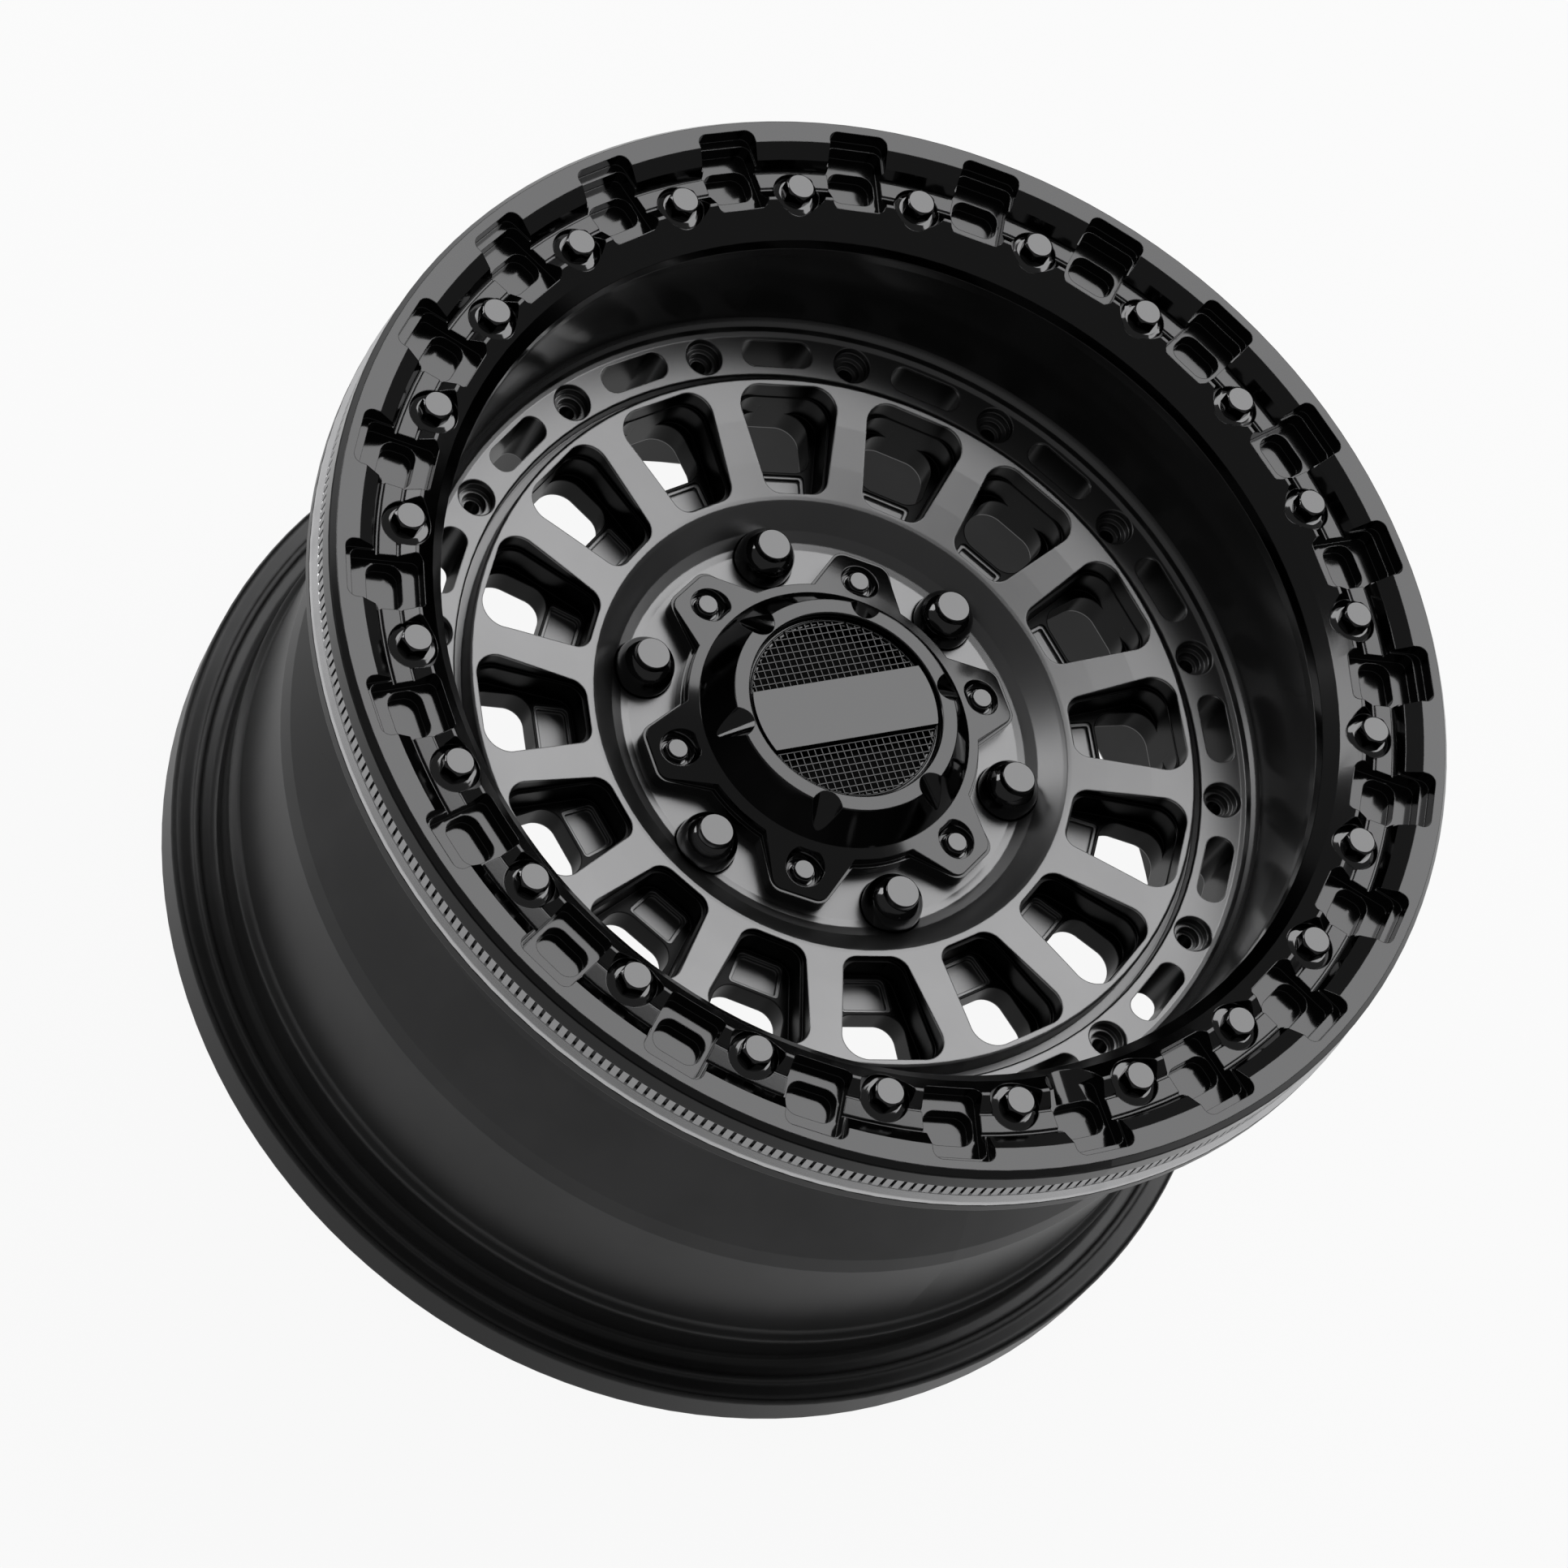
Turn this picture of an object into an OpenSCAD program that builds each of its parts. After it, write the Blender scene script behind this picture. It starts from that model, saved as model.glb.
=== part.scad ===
// Bolted bead-lock road wheel for a light truck: one-piece cast barrel and disc,
// machined clamp ring with 24 bolts, toothed grip ring, six lug nuts and a six-lobed cap.
// The wheel lies on its rear flange, spin axis on Z, outer face up, valve notch on +X.

/* [Size] */
// Height of the bolt-head plane above the floor
plane_h = 224; // [222:0.5:230]
// Outer diameter of the wheel, which is that of the rear flange
wheel_od = 413.8; // [412:0.2:416]
// Step in from the rear flange to the edge of the clamp ring
ring_step = 2.2; // [1.6:0.1:2.6]
// Step in from the rear flange to the edge of the front flange
front_step = 0.7; // [0.5:0.1:1.5]

/* [Clamp ring] */
// Circle of clamp bolts as a share of the ring's outer diameter
bolt_share = 0.8647; // [0.862:0.0001:0.868]
// Number of clamp bolts and of the pockets between them
bolt_count = 24; // [24:1:24]
// Diameter of the recess round a bolt head
bolt_recess_d = 17.2; // [16.6:0.1:18]
// Depth of the bolt seat below the bolt-head plane
bolt_seat_depth = 11.5; // [10.5:0.1:12.5]
// Width of a ring pocket
pocket_w = 22; // [20:0.2:23]
// Depth of the ring pocket floor below the bolt-head plane
pocket_depth = 9.6; // [8.5:0.1:10.5]
// Depth of the small slot floor in a ring pocket
slot_depth = 14.6; // [13:0.1:15]
// Width of the small slot along the ring
slot_w = 17.4; // [15:0.2:18]

/* [Grip ring] */
// Number of teeth on the grip ring
tooth_count = 366; // [300:6:366]
// Depth of the slots between the teeth
tooth_depth = 1.3; // [0.8:0.1:1.6]
// Share of the pitch that is slot
slot_share = 0.34; // [0.2:0.02:0.5]

/* [Disc] */
// Number of windows in the disc
window_count = 16; // [16:1:16]
// Radius of a window's outer corners
window_r_out = 8.6; // [7:0.2:9]
// Radius of a window's inner corners
window_r_in = 6.4; // [5:0.2:7]
// Circle of stepped holes and rim pockets as a share of the wheel's diameter
rim_share = 0.7173; // [0.714:0.0001:0.722]
// Outer diameter of a stepped hole
rim_hole_d = 13; // [12:0.1:14]
// Length of a rim pocket
rim_slot_l = 27.4; // [24:0.2:30]
// Width of a rim pocket
rim_slot_w = 10.4; // [9:0.1:11]

/* [Hub] */
// Diameter of the lug circle
lug_circle = 139.7; // [139.2:0.1:140.2]
// Diameter of a stud hole
stud_hole_d = 14.8; // [14.2:0.1:15.2]
// Diameter of the hub bore
hub_bore_d = 106.2; // [105:0.1:107]
// Depth of the hub mounting face below the bolt-head plane
mount_depth = 112; // [108:0.5:116]

/* [Cap] */
// Circle of the cap screws
cap_screw_circle = 122.4; // [121.8:0.1:123]
// Outer diameter of the flat ring on top of the cap
cap_top_od = 84.2; // [82:0.2:86]
// Outer diameter of the foot of the cap drum
cap_drum_od = 104.8; // [103:0.2:105.4]
// Pitch of the mesh in the cap
mesh_pitch = 2.4; // [2:0.1:4]
// Width of a mesh bar
mesh_bar = 0.6; // [0.4:0.05:0.9]
// Width of the band across the cap
band_w = 23.4; // [20:0.2:26]

/* [Fits] */
// Gap between parts that are seated on each other
seat_gap = 0.05; // [0.02:0.01:0.1]
// Clearance round bolts and screws in their holes, per side
hole_gap = 0.25; // [0.15:0.05:0.4]

/* [Hidden] */
$fn = 96;
steel = [0.10, 0.10, 0.11];
satin = [0.42, 0.42, 0.43];
bright = [0.75, 0.75, 0.76];
black = [0.05, 0.05, 0.055];
pitch = 360 / bolt_count;
// 1 at the sizes above; typed lengths follow the size that carries them
k = wheel_od / 413.8;
d = plane_h / 224;
h = lug_circle / 139.7;
b = bolt_recess_d / 17.2;
n = stud_hole_d / 14.8;
c = cap_screw_circle / 122.4;
m = cap_top_od / 84.2;
rear_r = wheel_od / 2;
ring_r = rear_r - ring_step;
front_r = rear_r - front_step;
bolt_r = ring_r * bolt_share;
rim_r = rear_r * rim_share;
lug_r = lug_circle / 2;
cap_screw_r = cap_screw_circle / 2;
bore_r = hub_bore_d / 2;
// depths below the bolt-head plane of the main seats
ring_back = 17.6 * d;
lip_back = 7.8 * d;
grip_front = lip_back + seat_gap;
grip_back = 19.4 * d;
grip_in = 199.7 * k;
grip_r = ring_r - 0.2 * k;
flange_front = grip_back + seat_gap;
pad_depth = 81.4 * d;
face_in = 71.9 * d;
floor_depth = 85 * d;
disc_back = 95.6 * d;
cap_foot = pad_depth - seat_gap;
// recess at the front of the hub bore that takes the spigot of the cap
spigot_r = bore_r + 1.5 * h;
spigot_depth = 97 * d;
bolt_shank_r = 3.95 * b;
screw_shank_r = 2.45 * c;

// places a profile given as radius and depth below the bolt-head plane
module turned(pts) translate([0, 0, plane_h]) mirror([0, 0, 1]) rotate_extrude($fn = 240) polygon(pts);
module turned_small(pts) translate([0, 0, plane_h]) mirror([0, 0, 1]) rotate_extrude($fn = 96) polygon(pts);
// bar along the axis from one depth to another
module rod(r, d0, d1) translate([0, 0, plane_h - d1]) cylinder(r = r, h = d1 - d0);
// cone along the axis, r0 at depth d0 and r1 at depth d1
module cone(r0, r1, d0, d1) translate([0, 0, plane_h - d1]) cylinder(r1 = r1, r2 = r0, h = d1 - d0);
// plate of a flat shape from one depth to another
module slab(d0, d1) translate([0, 0, plane_h - d1]) linear_extrude(height = d1 - d0) children();
module around(n, a0, r) for (k = [0:n - 1]) rotate([0, 0, a0 + k * 360 / n]) translate([r, 0, 0]) children();

function unit(v) = v / norm(v);
function edge_n(a, b) = let (e = unit(b - a)) [e[1], -e[0]];
// convex outline with round corners: corner centres run anticlockwise, one radius each;
// ease sets the sides in so that they cross the corner arcs instead of touching them
module rounded(c, r, ease = 0) {
    n = len(c);
    polygon([for (i = [0:n - 1]) for (s = [0, 1])
        let (p = c[(i + n - 1) % n], q = c[i], t = c[(i + 1) % n],
             m = s == 0 ? tang(p, q, r[(i + n - 1) % n], r[i]) : tang(q, t, r[i], r[(i + 1) % n]))
        q + (r[i] - ease) * m]);
    for (i = [0:n - 1]) translate(c[i]) circle(r = r[i], $fn = 48);
}
// outward normal of the line that touches two circles on the right of the way from a to b
function tang(a, b, ra, rb) = let (d = b - a, l = norm(d), u = d / l, k = (ra - rb) / l, h = sqrt(1 - k * k))
    [u[1] * h + u[0] * k, -u[0] * h + u[1] * k];
// box with round corners, centred on its own middle
module pill(l, w, r) rounded([[l / 2 - r, -w / 2 + r], [l / 2 - r, w / 2 - r], [-l / 2 + r, w / 2 - r],
    [-l / 2 + r, -w / 2 + r]], [r, r, r, r]);

// ---------- barrel and disc, one casting
barrel_out = [
    [161.9 * k, 17.65 * d], [grip_in - 0.2 * k, 17.65 * d], [grip_in - 0.2 * k, flange_front], [front_r, flange_front],
    [front_r, 23.6 * d], [204.4 * k, 25.4 * d], [193.2 * k, 26.6 * d], [191.0 * k, 27.4 * d], [189.9 * k, 29.4 * d], [189.2 * k, 44 * d],
    [190.6 * k, 47.2 * d], [190.2 * k, 49.4 * d], [187.6 * k, 51.6 * d], [172.2 * k, 62.4 * d], [170.2 * k, 65.6 * d], [169.6 * k, 70 * d],
    [169.8 * k, 82 * d], [171.4 * k, 88 * d], [181.6 * k, 112 * d], [185.4 * k, 121 * d], [187.0 * k, 128.4 * d], [187.2 * k, 184.4 * d],
    [187.8 * k, 186 * d], [190.3 * k, 187.2 * d], [190.5 * k, 189.4 * d], [189.4 * k, 191 * d], [189.9 * k, 202.6 * d], [190.9 * k, 204.4 * d],
    [193.0 * k, 205.2 * d], [196.6 * k, 205.3 * d], [197.4 * k, 203.9 * d], [199.0 * k, 203.9 * d], [199.8 * k, 205.2 * d], [204.6 * k, 204.8 * d],
    [206.2 * k, 205.6 * d], [rear_r, 207.2 * d], [rear_r, 221.6 * d], [206.0 * k, 223.4 * d], [204.2 * k, plane_h],
    [203.0 * k, plane_h], [201.2 * k, 222.8 * d], [200.4 * k, 220 * d], [199.8 * k, 213.2 * d], [197.6 * k, 211.2 * d], [186.8 * k, 209.8 * d],
    [183.2 * k, 208 * d], [181.0 * k, 204 * d], [180.8 * k, 131 * d], [179.2 * k, 123 * d], [164.8 * k, 90 * d], [163.2 * k, 84 * d], [160.6 * k, 80 * d]];
barrel_in = [[160.6 * k, 62.6 * d], [161.2 * k, 40 * d], [161.9 * k, 22 * d], [161.9 * k, 17.65 * d]];
disc_profile = [
    [bore_r, spigot_depth], [spigot_r, spigot_depth], [spigot_r, pad_depth], [73.8 * h, pad_depth], [76.6 * h, 80.9 * d], [80.6 * h, 78.9 * d], [88.2 * h, 73.1 * d], [89.5 * h, 72.2 * d],
    [90.9 * h, face_in], [104 * k, 69.7 * d], [120 * k, 67.2 * d], [135.6 * k, 65.15 * d], [136.5 * k, 65.6 * d], [136.7 * k, 75.4 * d],
    [140.2 * k, 75.6 * d], [140.4 * k, 70.6 * d], [141.0 * k, 69.95 * d], [155.8 * k, 68.4 * d], [157.4 * k, 67.6 * d], [158.2 * k, 65.4 * d], [159.6 * k, 63.9 * d],
    [160.7 * k, 62.4 * d], [162.4 * k, 62.4 * d], [164.4 * k, 96.4 * d], [160.4 * k, disc_back], [96 * k, disc_back], [90.4 * h, 97.6 * d],
    [87.4 * h, 101 * d], [86.4 * h, mount_depth - 2 * d], [84.4 * h, mount_depth], [bore_r + 1.4 * h, mount_depth], [bore_r, mount_depth - 1.4 * d]];
// window outline at the spoke face: inner and outer radius, half widths of the sharp corners
module window_shape(x0, x1, h0, h1, ri, ro) {
    s = atan((h1 - h0) / (x1 - x0));
    k = (1 - sin(s)) / cos(s);
    q = (1 + sin(s)) / cos(s);
    rounded([[x0 + ri, -(h0 - ri * k)], [x1 - ro, -(h1 - ro * q)], [x1 - ro, h1 - ro * q], [x0 + ri, h0 - ri * k]],
        [ri, ro, ro, ri], 0.02);
}
win_in = 91.9 * h;
win_out = 133.7 * k;
w = (win_out - win_in) / 41.8;
module window_cuts() {
    around(window_count, 180 / window_count, 0) {
        slab(60 * d, 74 * d) window_shape(win_in, win_out, 11.2 * k, 21.0 * k, window_r_in * w, window_r_out * w);
        slab(73.9 * d, floor_depth)
            window_shape(win_in + 1.3 * w, win_out - 0.3 * w, 10.4 * k, 19.6 * k, window_r_in * w, window_r_out * w);
        slab(80 * d, disc_back + 2 * d)
            window_shape(win_in + 16.3 * w, win_out - 0.3 * w, 12.7 * k, 14.6 * k, 7.6 * w, 8.6 * w);
        slab(80 * d, floor_depth + 0.9 * d)
            window_shape(win_in + 2.5 * w, win_in + 15.3 * w, 8.4 * k, 9.6 * k, 2.6 * w, 1.6 * w);
        slab(80 * d, floor_depth + 2.2 * d)
            window_shape(win_in + 3.7 * w, win_in + 14.1 * w, 7.2 * k, 8.2 * k, 2.2 * w, 0.8 * w);
    }
}
module rim_cuts() {
    around(window_count, 180 / window_count, rim_r + 0.6 * k)
        slab(60 * d, disc_back + 4 * d) pill(rim_slot_w, rim_slot_l, rim_slot_w * 0.46);
    around(window_count, 0, rim_r) {
        cone(rim_hole_d * 0.6, rim_hole_d * 0.5, 67.6 * d, 70.4 * d);
        rod(rim_hole_d * 0.485, 66 * d, 73.4 * d);
        rod(rim_hole_d * 0.34, 66 * d, 76.4 * d);
        rod(rim_hole_d * 0.215, 66 * d, 84 * d);
    }
}
// the coned seat of a lug nut: its mouth, its start and its height
seat_r = 11.2 * n;
seat_start = pad_depth + 3.8 * d;
seat_h = (seat_r - stud_hole_d / 2) * 1.732;
module hub_cuts() {
    around(6, 0, lug_r) {
        rod(stud_hole_d / 2, 70 * d, mount_depth + 1);
        cone(seat_r, stud_hole_d / 2, seat_start, seat_start + seat_h);
        rod(seat_r, 70 * d, seat_start + 0.1);
    }
    around(6, 30, cap_screw_r) rod(screw_shank_r + hole_gap, 70 * d, 100 * d);
}
module wheel_casting() color(satin) difference() {
    turned(concat(barrel_out, barrel_in));
    around(bolt_count, pitch / 2, bolt_r) rod(bolt_shank_r + hole_gap, 10 * d, 41 * d);
    translate([150 * k, 0, plane_h - 40 * d]) rotate([0, 90, 0]) cylinder(r = 5.7, h = 50 * k);
}
module disc_body() difference() {
    turned(disc_profile);
    window_cuts();
    rim_cuts();
    hub_cuts();
}
module wheel() color(satin) union() {
    wheel_casting();
    disc_body();
}

// ---------- clamp ring
ring_profile = [
    [162.0 * k, ring_back], [162.4 * k, 12.9 * d], [166.7 * k, 7.7 * d], [173.0 * k, 2.3 * d], [174.1 * k, 2.2 * d], [178.5 * k, 5.3 * d], [178.9 * k, 6.2 * d],
    [179.6 * k, 6.2 * d], [180.0 * k, 5.6 * d], [185.9 * k, 5.8 * d], [186.2 * k, 6.7 * d], [186.9 * k, 6.7 * d], [187.2 * k, 5.4 * d], [189.2 * k, 1.6 * d],
    [194.6 * k, -2.0 * d], [202.7 * k, -2.3 * d], [ring_r - 0.3 * k, 0.1 * d], [ring_r, 0.6 * d], [ring_r, lip_back],
    [grip_in - 0.4 * k, lip_back], [grip_in - 0.4 * k, ring_back]];
module ring_pocket() {
    u = pocket_w / 22;
    slab(-8 * d, 3.7 * d) translate([188.4 * k, 0]) pill(22.0 * k, pocket_w, 3.4 * u);
    slab(-7 * d, pocket_depth) translate([183.5 * k, 0]) pill(25.2 * k, 20.6 * u, 2.8 * u);
    slab(-6 * d, slot_depth) translate([183.2 * k, 0]) pill(12.4 * k, slot_w, 4.6 * u);
}
module beadlock_ring() color(steel) difference() {
    turned(ring_profile);
    around(bolt_count, 0, 0) ring_pocket();
    around(bolt_count, pitch / 2, bolt_r) {
        turned_small([[0, -8 * d], [10.8 * b, -8 * d], [10.8 * b, 1.2 * d],
            [bolt_recess_d / 2, 4.9 * d], [bolt_recess_d / 2, bolt_seat_depth], [0, bolt_seat_depth]]);
        rod(bolt_shank_r + hole_gap, 0, ring_back + 1);
    }
    translate([148 * k, 0, plane_h + 2.4 * d]) rotate([0, 97, 0]) cylinder(r = 10.3 * k, h = 30 * k);
}

// ---------- grip ring
module grip_ring() color(bright) difference() {
    union() {
        slab(grip_front, 14.4 * d) difference() {
            polygon([for (i = [0:tooth_count - 1]) for (s = [0:3])
                let (a = (i + (s < 2 ? 0 : 1 - slot_share)) * 360 / tooth_count)
                (s == 0 || s == 3 ? grip_r - tooth_depth : grip_r) * [cos(a), sin(a)]]);
            circle(r = grip_in, $fn = 240);
        }
        turned([[grip_in, 14.3 * d], [grip_r - 0.8 * k, 14.3 * d], [grip_r, 14.9 * d],
            [front_r - 0.3 * k, 17.2 * d], [front_r - 0.1 * k, 17.6 * d], [front_r - 0.1 * k, grip_back],
            [grip_in, grip_back]]);
    }
}

// ---------- clamp bolts
module hex_head(af, d0, d1, bevel) intersection() {
    slab(d0, d1) circle(r = af / sqrt(3), $fn = 6);
    cone(af / 2, af / 2 + (d1 - d0) * bevel, d0 - 0.05, d1);
}
module clamp_bolt() {
    flange = bolt_seat_depth - 1.9 * b;
    intersection() {
        slab(0, 6.2 * b) circle(r = 5.8 * b, $fn = 6);
        cone(4.6 * b, 16.4 * b, 0, 6.2 * b);
    }
    cone(6.1 * b, 7.9 * b, 6.1 * b, flange);
    rod(8.1 * b, flange - 0.05, bolt_seat_depth - seat_gap);
    rod(bolt_shank_r, flange, 40 * d);
}
module clamp_bolts() color(steel) around(bolt_count, pitch / 2, bolt_r) clamp_bolt();

// ---------- lug nuts
// radius and distance above the start of its seat; the tip clears the seat by 0.08
nut_profile = [[5.9, 17.1], [6.25, 16.75], [6.3, 14.2], [6.9, 13.5], [8.5, 11.6], [9.7, 9.2], [10.4, 6.2],
    [10.75, 3.2], [10.85, 0.6], [10.85, -0.47], [7.716, -5.9]];
module lug_nut() difference() {
    translate([0, 0, plane_h - seat_start]) rotate_extrude($fn = 96)
        polygon(concat([[0, 17.1 * n]], [for (p = nut_profile) p * n], [[0, -5.9 * n]]));
    translate([0, 0, plane_h - seat_start - 7 * n]) cylinder(r = 5.6 * n, h = 16 * n);
}
module lug_nuts() color(black) around(6, 0, lug_r) lug_nut();

// ---------- centre cap
module lobe(tip, side, r0, r1) {
    for (i = [0:5]) rotate([0, 0, 30 + 60 * i])
        rounded([[30 * c, -side], [tip, -6.2 * c], [tip, 6.2 * c], [30 * c, side]], [r0, r1, r1, r0]);
}
module cap_foot_shape() {
    lobe(66.4 * c, 23 * c, 4 * c, 5.4 * c);
    circle(r = 56.4 * c, $fn = 120);
}
module cap_top_shape() {
    lobe(66.0 * c, 21.4 * c, 4 * c, 4.6 * c);
    circle(r = 54.8 * c, $fn = 120);
}
cap_top = pad_depth - 22.4 * d;
mesh_seat = cap_top + 3.6 * d;
cap_floor = mesh_seat + 4.4 * d;
module centre_cap() color(black) difference() {
    union() {
        slab(75.6 * d, cap_foot) cap_foot_shape();
        intersection() {
            slab(69 * d, 75.7 * d) cap_top_shape();
            turned([[0, 68 * d], [50 * c, 70.6 * d], [72 * c, 75.3 * d], [72 * c, 79 * d], [0, 79 * d]]);
        }
        translate([0, 0, plane_h]) mirror([0, 0, 1]) rotate_extrude($fn = 180) polygon([
            [0, cap_floor], [33.4 * m, cap_floor], [33.4 * m, mesh_seat], [35.6 * m, mesh_seat],
            [36.2 * m, cap_top + 0.4 * d], [36.6 * m, cap_top], [cap_top_od / 2 - 0.4 * m, cap_top],
            [cap_top_od / 2, cap_top + 0.4 * d], [cap_drum_od / 2 - 1.2 * m, 71.2 * d],
            [cap_drum_od / 2, 72.2 * d], [cap_drum_od / 2, 74 * d], [spigot_r - hole_gap, 74 * d],
            [spigot_r - hole_gap, spigot_depth - 1], [bore_r - 3 * h, spigot_depth - 1], [bore_r - 3 * h, 81 * d],
            [30 * m, 70.5 * d], [0, 70.5 * d]]);
    }
    around(6, 30, cap_screw_r) {
        rod(6.3 * c, 60 * d, 77.6 * d);
        cone(8.0 * c, 6.3 * c, 71.6 * d, 74.4 * d);
        rod(screw_shank_r + hole_gap, 70 * d, cap_foot + 1);
    }
    around(6, 30, 0) translate([41.16 * m, 0, plane_h - 52.5 * d]) rotate([0, 142, 0])
        cylinder(r1 = 8.2 * m, r2 = 3.2 * m, h = 17.5 * m);
}

// ---------- cap screws
module cap_screw() {
    cone(3.5 * c, 3.7 * c, 73.6 * d, 74.0 * d);
    cone(3.7 * c, 3.7 * c, 73.95 * d, 74.6 * d);
    hex_head(8.0 * c, 74.5 * d, 77.2 * d, 2.2);
    rod(4.9 * c, 77.1 * d, 77.6 * d - seat_gap);
    rod(screw_shank_r, 77.2 * d, 98 * d);
}
module cap_screws() color(steel) around(6, 30, cap_screw_r) cap_screw();

// ---------- mesh and band in the cap
mesh_r = 35.0 * m;
mesh_n = floor(mesh_r / mesh_pitch);
mesh_top = mesh_seat - 0.9 * m;
module cap_mesh() color(steel) {
    slab(mesh_top, mesh_seat - seat_gap) intersection() {
        circle(r = mesh_r, $fn = 120);
        union() {
            for (i = [-mesh_n:mesh_n]) {
                translate([i * mesh_pitch - mesh_bar / 2, -mesh_r]) square([mesh_bar, 2 * mesh_r]);
                translate([-mesh_r, i * mesh_pitch - mesh_bar / 2]) square([2 * mesh_r, mesh_bar]);
            }
            difference() {
                circle(r = mesh_r, $fn = 120);
                circle(r = mesh_r - 1.7 * m, $fn = 120);
            }
        }
    }
}
module cap_band() color(steel) slab(mesh_top - 1.9 * m, mesh_top - seat_gap) intersection() {
    circle(r = mesh_r - 0.2 * m, $fn = 120);
    translate([-band_w / 2 + 1.2 * m, -40 * m]) square([band_w, 80 * m]);
}

wheel();  // wheel_casting
beadlock_ring();
grip_ring();  // bead_grip_ring
clamp_bolts();  // beadlock_bolts
lug_nuts();
centre_cap();
cap_screws();
cap_mesh();
cap_band();
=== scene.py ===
"""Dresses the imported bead-lock wheel: finishes, fine pieces, stage, lamps and camera."""
import math

import bmesh
import bpy
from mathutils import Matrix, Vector


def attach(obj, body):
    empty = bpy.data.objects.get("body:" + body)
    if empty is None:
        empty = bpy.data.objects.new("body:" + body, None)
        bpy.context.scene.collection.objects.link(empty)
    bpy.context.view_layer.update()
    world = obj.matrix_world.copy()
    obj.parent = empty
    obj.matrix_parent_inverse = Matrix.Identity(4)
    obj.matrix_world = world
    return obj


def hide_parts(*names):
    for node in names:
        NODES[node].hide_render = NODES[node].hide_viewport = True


bl_info = {
    "name": "Bead-lock wheel",
    "version": (1, 0, 0),
    "blender": (4, 5, 0),
    "location": "View3D > Sidebar > Wheel",
    "description": "Finishes, fasteners, cap mesh and studio of a bead-lock wheel",
    "category": "Object",
}

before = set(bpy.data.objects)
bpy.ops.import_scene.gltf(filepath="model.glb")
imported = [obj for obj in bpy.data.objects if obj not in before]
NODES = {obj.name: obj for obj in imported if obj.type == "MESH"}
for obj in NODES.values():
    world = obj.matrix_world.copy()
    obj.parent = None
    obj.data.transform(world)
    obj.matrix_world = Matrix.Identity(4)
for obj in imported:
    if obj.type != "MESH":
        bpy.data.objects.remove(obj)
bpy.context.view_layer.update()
MM = 0.001
BOLT_R = 177.0 * MM
LUG_R = 69.85 * MM
SCREW_R = 61.2 * MM
BOLT_COUNT, NUT_COUNT, SCREW_COUNT = 24, 6, 6
BOLT_FLATS, SCREW_FLATS = 10.0 * MM, 8.0 * MM
SPOKE_COUNT = 16
GRILLE_RADIUS = 35.0 * MM
GRILLE_TOP = 162.28 * MM
FLOOR_RADIUS = 6.0
FLOOR_GLOW = 0.93
SKY_STRENGTH = 0.12
BACKDROP_GLOW = 0.83
LENS_MM = 119.701
CAMERA_PLACE = (0.645237, -0.834066, 1.667608)
CAMERA_TURN = (28.16642, -19.76923, 70.03322)


# ---------------------------------------------------------------- shader maths
class Wire:
    """A node socket that takes part in sums, products and comparisons."""

    def __init__(self, graph, socket):
        self.graph, self.socket = graph, socket

    def _maths(self, kind, *values, clamp=False):
        return self.graph.add("ShaderNodeMath", {"operation": kind, "use_clamp": clamp}, dict(enumerate(values)))

    def __add__(self, other): return self._maths("ADD", self, other)
    def __radd__(self, other): return self._maths("ADD", other, self)
    def __sub__(self, other): return self._maths("SUBTRACT", self, other)
    def __rsub__(self, other): return self._maths("SUBTRACT", other, self)
    def __mul__(self, other): return self._maths("MULTIPLY", self, other)
    def __rmul__(self, other): return self._maths("MULTIPLY", other, self)
    def __truediv__(self, other): return self._maths("DIVIDE", self, other)
    def __rtruediv__(self, other): return self._maths("DIVIDE", other, self)
    def maximum(self, other): return self._maths("MAXIMUM", self, other)
    def sine(self): return self._maths("SINE", self)
    def root(self): return self._maths("SQRT", self)
    def angle(self, other): return self._maths("ARCTAN2", self, other)
    def clamped(self): return self._maths("ADD", self, 0.0, clamp=True)

    def step(self, low, high):
        """Smooth rise from 0 at low to 1 at high."""
        return self.graph.add("ShaderNodeMapRange", {"interpolation_type": "SMOOTHSTEP"},
                              {"Value": self, "From Min": low, "From Max": high})


class Graph:
    """A node tree whose nodes all come from one method."""

    def __init__(self, tree):
        self.tree = tree

    def add(self, kind, settings=None, inputs=None, output=0):
        node = self.tree.nodes.new(kind)
        for key, value in (settings or {}).items():
            setattr(node, key, value)
        for key, value in (inputs or {}).items():
            if value is not None:
                self.feed(node.inputs[key], value)
        self.last = node
        return Wire(self, node.outputs[output]) if len(node.outputs) else node

    def feed(self, socket, value):
        if isinstance(value, Wire):
            self.tree.links.new(value.socket, socket)
        elif isinstance(value, (tuple, list)) and len(value) == 3 and socket.type == "RGBA":
            socket.default_value = (*value, 1.0)
        else:
            socket.default_value = value


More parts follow.
